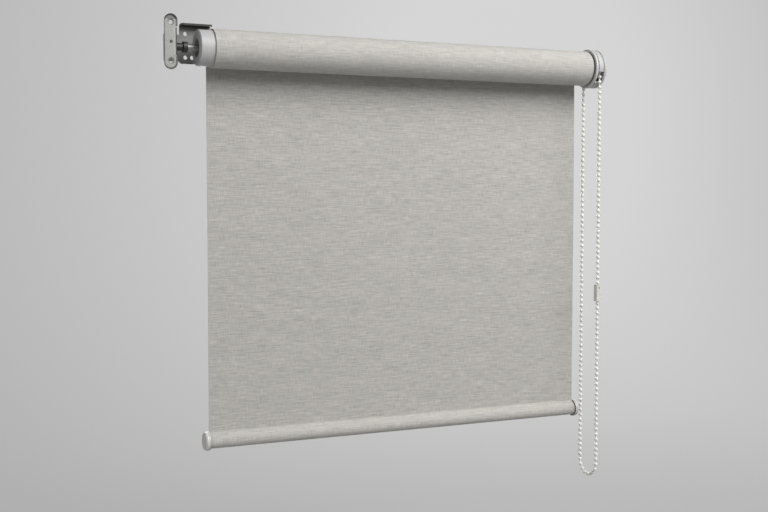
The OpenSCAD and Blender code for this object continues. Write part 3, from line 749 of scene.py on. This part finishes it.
def moulded(name, dark, light, gloss, rings=None, shade_axis=None, shade_radius=None, shade_depth=None):
    finish = Finish(name, specular_ior_level=0.45)
    where = finish.place()
    x, y, z = finish.split(where)
    flow = finish.noise(where, even(FLOW_CELLS), detail=2.0)
    grain = finish.noise(where, even(MOULD_GRAIN), detail=3.0)
    height = grain
    tone = 0.6 * flow + 0.4 * grain
    if rings is not None:
        ring = ridges(x, rings)
        height = grain + 1.2 * ring
        tone = 0.55 * tone + 0.45 * ring
    plastic = finish.mix(tone, dark, light)
    # Painted shadow: a dark ring inside a radius round the axis, near the ends of the cloth.
    if shade_axis is not None:
        far = finish.ramp(reach(y - shade_axis.y, z - shade_axis.z), shade_radius, shade_radius + RING_SHADE_FADE)
        near = (abs(x - MIDDLE) < HALF + shade_depth) * (1.0 - far)
        plastic = finish.mix(RING_SHADE_SHARE * near, plastic, RING_SHADE)
    finish.set(
        base_color=plastic,
        roughness=gloss + 0.14 * grain,
        normal=finish.bump(height, depth=0.02 * MM),
    )
    return finish.material


plug_grey = moulded(
    "plug_plastic", dark=colour(0.39, 0.39, 0.392), light=colour(0.51, 0.51, 0.51), gloss=0.36,
    rings=2.0 * MM)
cap_white = moulded(
    "cap_plastic", dark=colour(0.56, 0.545, 0.525), light=colour(0.69, 0.675, 0.65), gloss=0.22,
    shade_axis=BAR, shade_radius=9.9 * MM, shade_depth=0.3 * MM)
clutch_grey = moulded(
    "clutch_plastic", dark=colour(0.39, 0.39, 0.387), light=colour(0.50, 0.50, 0.496), gloss=0.42)
# A paler copy of the clutch plastic is painted light for the flange's shaded face; its dark ring is painted
# shadow.
clutch_lit_and_shaded = moulded(
    "clutch_plastic_painted_light_and_shade", dark=colour(0.45, 0.45, 0.447), light=colour(0.56, 0.56, 0.556), gloss=0.42,
    shade_axis=AXIS, shade_radius=19.6 * MM, shade_depth=2.3 * MM)
print("finish:", plug_grey.name, cap_white.name, clutch_grey.name, clutch_lit_and_shaded.name)

# %% [markdown]
# Each moulded part now gets its rounded copy and the finish of its plastic. The flange alone gets a paler
# copy of the clutch plastic, painted light for its shaded face, with a ring of painted shadow where the edge
# of the roll meets it.

# %% Moulded parts
rounded("idle_plug", "plug_left", edge=0.3 * MM, finish=plug_grey)
rounded("hem_cap_left", "hem_end_left", edge=0.7 * MM, finish=cap_white)
rounded("hem_cap_right", "hem_end_right", edge=0.7 * MM, finish=cap_white)
rounded("guard_flange", "clutch_flange", edge=0.4 * MM, finish=clutch_lit_and_shaded)
rounded("chain_housing", "clutch_shell", edge=0.5 * MM, finish=clutch_grey)

# %% [markdown]
# The tube and the bar are drawn aluminium, with fine lines along their length. They and the other inner parts
# stay as they came, and only get a finish, because hardly any of them shows.

# %% Inner parts
DRAWN_LINES = (6, 2200, 2200)


def drawn_aluminium():
    finish = Finish("drawn_aluminium", metallic=0.95)
    where = finish.place()
    lines = finish.noise(where, DRAWN_LINES, detail=3.0)
    finish.set(
        base_color=finish.mix(lines, colour(0.55, 0.55, 0.56), colour(0.82, 0.82, 0.83)),
        roughness=between(lines, 0.28, 0.48),
        normal=finish.bump(lines, depth=0.01 * MM),
    )
    return finish.material


inner_finish = {
    "tube_aluminium": drawn_aluminium(), "plug_plastic": plug_grey, "clutch_plastic": clutch_grey,
    "pin_steel": bright, "dark_steel": black,
}
for node, part in frame["nodes"].items():
    if not part.hide_render:
        part.data.materials.clear()
        part.data.materials.append(inner_finish[slots[node]])
        print("finish:", node, "gets", part.data.materials[0].name)

# %% [markdown]
# The set is a pale sweep: a floor that curves up into a wall, far enough back that no shadow of the blind
# falls on it in the picture, and wide enough that its ends stay out of the side views. Seen by the camera it
# is mostly its own soft light, brightest above and to the right of the middle and falling off to the corners.
# The rest is lit like any wall, so the lamps still shade it a little.

# %% Sweep
FLOOR_Z, WALL_Y, BEND_R = -0.78, 2.15, 0.8
SWEEP_LEFT, SWEEP_RIGHT, SWEEP_FRONT, SWEEP_TOP = -15.0, 16.0, -4.0, 4.0
BEND_STEPS = 24
GLOW_AT = (1.45, WALL_Y, 0.09)
GLOW_NEAR, GLOW_FAR = 0.5, 2.1
GLOW_BRIGHT, GLOW_DIM = colour(0.75, 0.75, 0.75), colour(0.48, 0.48, 0.48)
GLOW_SHARE = 0.85


def sweep_mesh():
    bend = [(WALL_Y - BEND_R + BEND_R * math.sin(a), FLOOR_Z + BEND_R - BEND_R * math.cos(a))
            for a in spread(0.0, math.pi / 2, BEND_STEPS)]
    profile = [(SWEEP_FRONT, FLOOR_Z)] + bend + [(WALL_Y, SWEEP_TOP)]
    verts = [(x, y, z) for y, z in profile for x in (SWEEP_LEFT, SWEEP_RIGHT)]
    faces = [(2 * i, 2 * i + 1, 2 * i + 3, 2 * i + 2) for i in range(len(profile) - 1)]
    mesh = bpy.data.meshes.new("sweep")
    mesh.from_pydata(verts, [], faces)
    mesh.shade_smooth()
    return mesh


def sweep_finish():
    finish = Finish("sweep_paint", base_color=colour(0.40, 0.40, 0.40), roughness=0.9)
    where = finish.place()
    away = finish.node("ShaderNodeVectorMath", {"operation": "DISTANCE"}, {0: where, 1: GLOW_AT}, "Value")
    shade = finish.mix(finish.ramp(away, GLOW_NEAR, GLOW_FAR), GLOW_BRIGHT, GLOW_DIM)
    glow = finish.node("ShaderNodeEmission", None, {"Color": shade, "Strength": 1.0})
    camera_ray = finish.node("ShaderNodeLightPath", output="Is Camera Ray")
    glossy_ray = finish.node("ShaderNodeLightPath", output="Is Glossy Ray")
    through_ray = finish.node("ShaderNodeLightPath", output="Is Transmission Ray")
    seen = GLOW_SHARE * (camera_ray + glossy_ray + through_ray)
    lit = Tone(finish, finish.shader.outputs[0])
    both = finish.node("ShaderNodeMixShader", None, {0: seen, 1: lit, 2: glow})
    finish.plug(finish.tree.nodes["Material Output"].inputs["Surface"], both)
    return finish.material


sweep = bpy.data.objects.new("sweep", sweep_mesh())
scene.collection.objects.link(sweep)
sweep.data.materials.append(sweep_finish())
print("sweep: floor at", FLOOR_Z, "m, wall at", WALL_Y, "m")

# %% [markdown]
# The light is a large, tall soft box in front, above and to the right. It brightens the upper part of the
# roll, and the roll's shade on the cloth below fades out slowly because the box is tall. A weak box on the
# left opens the bracket, and a small one close behind lights the back without brightening the floor in the
# picture. The levels are plain: a colour on the sheet comes out about as it is written.

# %% Light
CENTRE = (cad_box[0] + cad_box[1]) / 2


def soft_box(name, azimuth, height, distance, width, tall, power):
    a, e = math.radians(azimuth), math.radians(height)
    away = Vector((math.sin(a) * math.cos(e), -math.cos(a) * math.cos(e), math.sin(e)))
    lamp = bpy.data.objects.new(name, bpy.data.lights.new(name, "AREA"))
    lamp.data.shape = "RECTANGLE"
    lamp.data.size, lamp.data.size_y = width, tall
    lamp.data.energy = power
    lamp.location = CENTRE + away * distance
    lamp.rotation_euler = away.to_track_quat("Z", "Y").to_euler()
    lamp.visible_camera = False
    scene.collection.objects.link(lamp)
    print("light:", name, power, "W")


soft_box("box_right", azimuth=32, height=40, distance=2.2, width=1.5, tall=1.5, power=62)
soft_box("box_left", azimuth=-62, height=14, distance=2.2, width=1.0, tall=1.4, power=11)
soft_box("box_back", azimuth=172, height=12, distance=0.85, width=0.7, tall=0.5, power=5)

# %% [markdown]
# An even grey world fills the rest. As a light it is weak, so that shadows keep their depth, but the camera
# sees it paler, so that a view past the end of the sweep doesn't turn dark.

# %% World
FILL, BEYOND = 0.10, 0.55
world = bpy.data.worlds.new("studio")
scene.world = world
world.use_nodes = True
sky = world.node_tree.nodes["Background"]
path = world.node_tree.nodes.new("ShaderNodeLightPath")
grey = world.node_tree.nodes.new("ShaderNodeMix")
grey.data_type = "RGBA"
grey.inputs[MIX_FIRST].default_value = colour(FILL, FILL, FILL)
grey.inputs[MIX_SECOND].default_value = colour(BEYOND, BEYOND, BEYOND)
world.node_tree.links.new(path.outputs["Is Camera Ray"], grey.inputs[MIX_SHARE])
world.node_tree.links.new(grey.outputs[MIX_RESULT], sky.inputs["Color"])
print("world: fill", FILL)

# %% [markdown]
# That is the whole blind, dressed and lit.

# %% End
print("blind: dressed")
